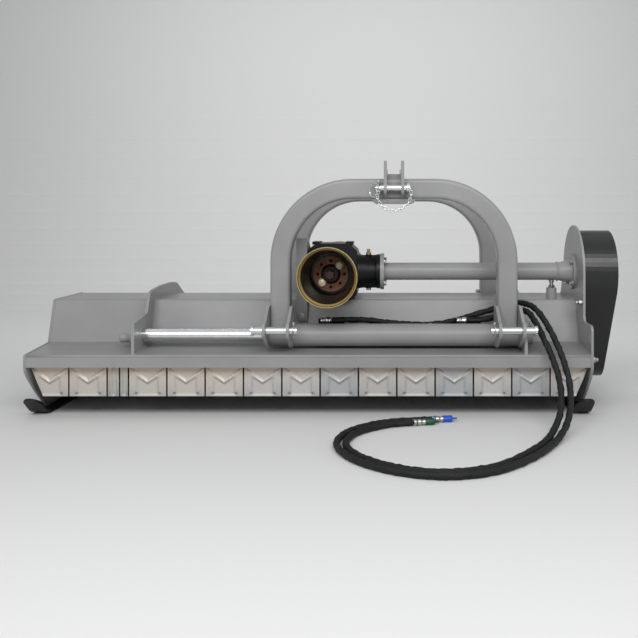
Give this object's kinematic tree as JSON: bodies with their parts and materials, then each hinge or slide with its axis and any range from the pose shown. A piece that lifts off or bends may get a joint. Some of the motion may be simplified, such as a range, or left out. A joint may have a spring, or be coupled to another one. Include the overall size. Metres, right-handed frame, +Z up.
{
  "type": "flail mower",
  "caption": "Wide tractor flail mower with a folded deck, belt-driven flail rotor, rear roller, hinged front flaps and a twin arch hitch frame that slides sideways on chrome rails.",
  "frame": {"origin": "middle of the mower's plan box on the ground under the skids, hoses left out", "axes": "+X to the belt side, across the mower; +Y to the roller side; +Z up"},
  "size_m": [2.403, 1.7032, 1.014],
  "materials": {
    "grey_paint": "satin",
    "bright_chrome": "polished",
    "plated_steel": "zinc plated",
    "zinc_sheet": "galvanised",
    "black_paint": "satin",
    "black_casting": "painted black",
    "guard_plastic": "matt",
    "rusty_steel": "rusty",
    "brass": "plain",
    "black_rubber": "matt",
    "hose_sleeve": "woven sleeve",
    "blue_cap": "gloss",
    "green_cap": "gloss"
  },
  "bodies": {
    "deck": {"deck_shell": "grey_paint", "side_plate_left": "grey_paint", "side_plate_right": "grey_paint", "rail_brackets": "grey_paint", "slide_rails": "bright_chrome", "rail_collars": "grey_paint", "flap_rod": "plated_steel", "skids": "black_paint", "roller_brackets": "grey_paint", "rear_curtain": "black_rubber", "rotor_bearings": "black_paint", "gearbox_housing": "black_casting", "gearbox_plugs": "brass", "gearbox_support": "grey_paint", "pto_guards": "guard_plastic", "drive_tube": "grey_paint", "tube_support": "grey_paint", "belt_guard": "black_paint", "v_belts": "black_rubber", "cylinder_rod": "bright_chrome", "deck_bolts": "plated_steel"},
    "carriage": {"carriage_tubes": "grey_paint", "front_arch": "grey_paint", "rear_arch": "grey_paint", "lower_link_lugs": "grey_paint", "top_link_lugs": "grey_paint", "tie_plate": "grey_paint", "hitch_pins": "bright_chrome", "lynch_pins": "plated_steel", "pin_chain": "plated_steel", "cylinder_barrel": "black_paint", "hose_one": "hose_sleeve", "hose_two": "hose_sleeve", "coupling_blue": "blue_cap", "coupling_green": "green_cap"},
    "rotor": {"rotor_tube": "grey_paint", "flails": "black_casting", "rotor_pulley": "black_casting"},
    "drive_line": {"drive_shaft": "plated_steel", "drive_pulley": "black_casting"},
    "through_shaft": {"pto_shaft": "plated_steel", "flange_disc": "rusty_steel"},
    "roller": {"roller": "grey_paint"},
    "flap_01": {"flap_01": "zinc_sheet"},
    "flap_02": {"flap_02": "zinc_sheet"},
    "flap_03": {"flap_03": "zinc_sheet"},
    "flap_04": {"flap_04": "zinc_sheet"},
    "flap_05": {"flap_05": "zinc_sheet"},
    "flap_06": {"flap_06": "zinc_sheet"},
    "flap_07": {"flap_07": "zinc_sheet"},
    "flap_08": {"flap_08": "zinc_sheet"},
    "flap_09": {"flap_09": "zinc_sheet"},
    "flap_10": {"flap_10": "zinc_sheet"},
    "flap_11": {"flap_11": "zinc_sheet"},
    "flap_12": {"flap_12": "zinc_sheet"},
    "flap_13": {"flap_13": "zinc_sheet"},
    "flap_14": {"flap_14": "zinc_sheet"},
    "flap_15": {"flap_15": "zinc_sheet"},
    "flap_16": {"flap_16": "zinc_sheet"}
  },
  "joints": [
    {"name": "side_shift", "type": "slide", "parent": "deck", "child": "carriage", "axis": [1, 0, 0], "range_m": [-0.48, 0], "deforming": ["hose_one", "hose_two", "coupling_blue", "coupling_green"]},
    {"name": "rotor_spin", "type": "hinge", "parent": "deck", "child": "rotor", "pos_m": [-0.0475, 0.045, 0.2], "axis": [1, 0, 0], "continuous": true},
    {"name": "drive_spin", "type": "hinge", "parent": "deck", "child": "drive_line", "pos_m": [0.0275, -0.11, 0.556], "axis": [1, 0, 0], "continuous": true},
    {"name": "pto_spin", "type": "hinge", "parent": "deck", "child": "through_shaft", "pos_m": [0.0275, -0.11, 0.556], "axis": [0, 1, 0], "continuous": true},
    {"name": "roller_spin", "type": "hinge", "parent": "deck", "child": "roller", "pos_m": [-0.0475, 0.335, 0.083], "axis": [1, 0, 0], "continuous": true},
    {"name": "flap_01_swing", "type": "hinge", "parent": "deck", "child": "flap_01", "pos_m": [-1.07054, -0.401, 0.212], "axis": [1, 0, 0], "range_deg": [0, 75]},
    {"name": "flap_02_swing", "type": "hinge", "parent": "deck", "child": "flap_02", "pos_m": [-0.91961, -0.401, 0.212], "axis": [1, 0, 0], "range_deg": [0, 75]},
    {"name": "flap_03_swing", "type": "hinge", "parent": "deck", "child": "flap_03", "pos_m": [-0.81964, -0.401, 0.212], "axis": [1, 0, 0], "range_deg": [0, 75]},
    {"name": "flap_04_swing", "type": "hinge", "parent": "deck", "child": "flap_04", "pos_m": [-0.77764, -0.401, 0.212], "axis": [1, 0, 0], "range_deg": [0, 75]},
    {"name": "flap_05_swing", "type": "hinge", "parent": "deck", "child": "flap_05", "pos_m": [-0.68468, -0.401, 0.212], "axis": [1, 0, 0], "range_deg": [0, 75]},
    {"name": "flap_06_swing", "type": "hinge", "parent": "deck", "child": "flap_06", "pos_m": [-0.53375, -0.401, 0.212], "axis": [1, 0, 0], "range_deg": [0, 75]},
    {"name": "flap_07_swing", "type": "hinge", "parent": "deck", "child": "flap_07", "pos_m": [-0.38282, -0.401, 0.212], "axis": [1, 0, 0], "range_deg": [0, 75]},
    {"name": "flap_08_swing", "type": "hinge", "parent": "deck", "child": "flap_08", "pos_m": [-0.23189, -0.401, 0.212], "axis": [1, 0, 0], "range_deg": [0, 75]},
    {"name": "flap_09_swing", "type": "hinge", "parent": "deck", "child": "flap_09", "pos_m": [-0.08096, -0.401, 0.212], "axis": [1, 0, 0], "range_deg": [0, 75]},
    {"name": "flap_10_swing", "type": "hinge", "parent": "deck", "child": "flap_10", "pos_m": [0.06996, -0.401, 0.212], "axis": [1, 0, 0], "range_deg": [0, 75]},
    {"name": "flap_11_swing", "type": "hinge", "parent": "deck", "child": "flap_11", "pos_m": [0.22089, -0.401, 0.212], "axis": [1, 0, 0], "range_deg": [0, 75]},
    {"name": "flap_12_swing", "type": "hinge", "parent": "deck", "child": "flap_12", "pos_m": [0.37182, -0.401, 0.212], "axis": [1, 0, 0], "range_deg": [0, 75]},
    {"name": "flap_13_swing", "type": "hinge", "parent": "deck", "child": "flap_13", "pos_m": [0.52275, -0.401, 0.212], "axis": [1, 0, 0], "range_deg": [0, 75]},
    {"name": "flap_14_swing", "type": "hinge", "parent": "deck", "child": "flap_14", "pos_m": [0.67368, -0.401, 0.212], "axis": [1, 0, 0], "range_deg": [0, 75]},
    {"name": "flap_15_swing", "type": "hinge", "parent": "deck", "child": "flap_15", "pos_m": [0.82461, -0.401, 0.212], "axis": [1, 0, 0], "range_deg": [0, 75]},
    {"name": "flap_16_swing", "type": "hinge", "parent": "deck", "child": "flap_16", "pos_m": [0.97554, -0.401, 0.212], "axis": [1, 0, 0], "range_deg": [0, 75]}
  ],
  "couplings": [
    {"joint": "drive_spin", "follows": "rotor_spin", "ratio": 0.8},
    {"joint": "pto_spin", "follows": "rotor_spin", "ratio": 0.26667}
  ]
}
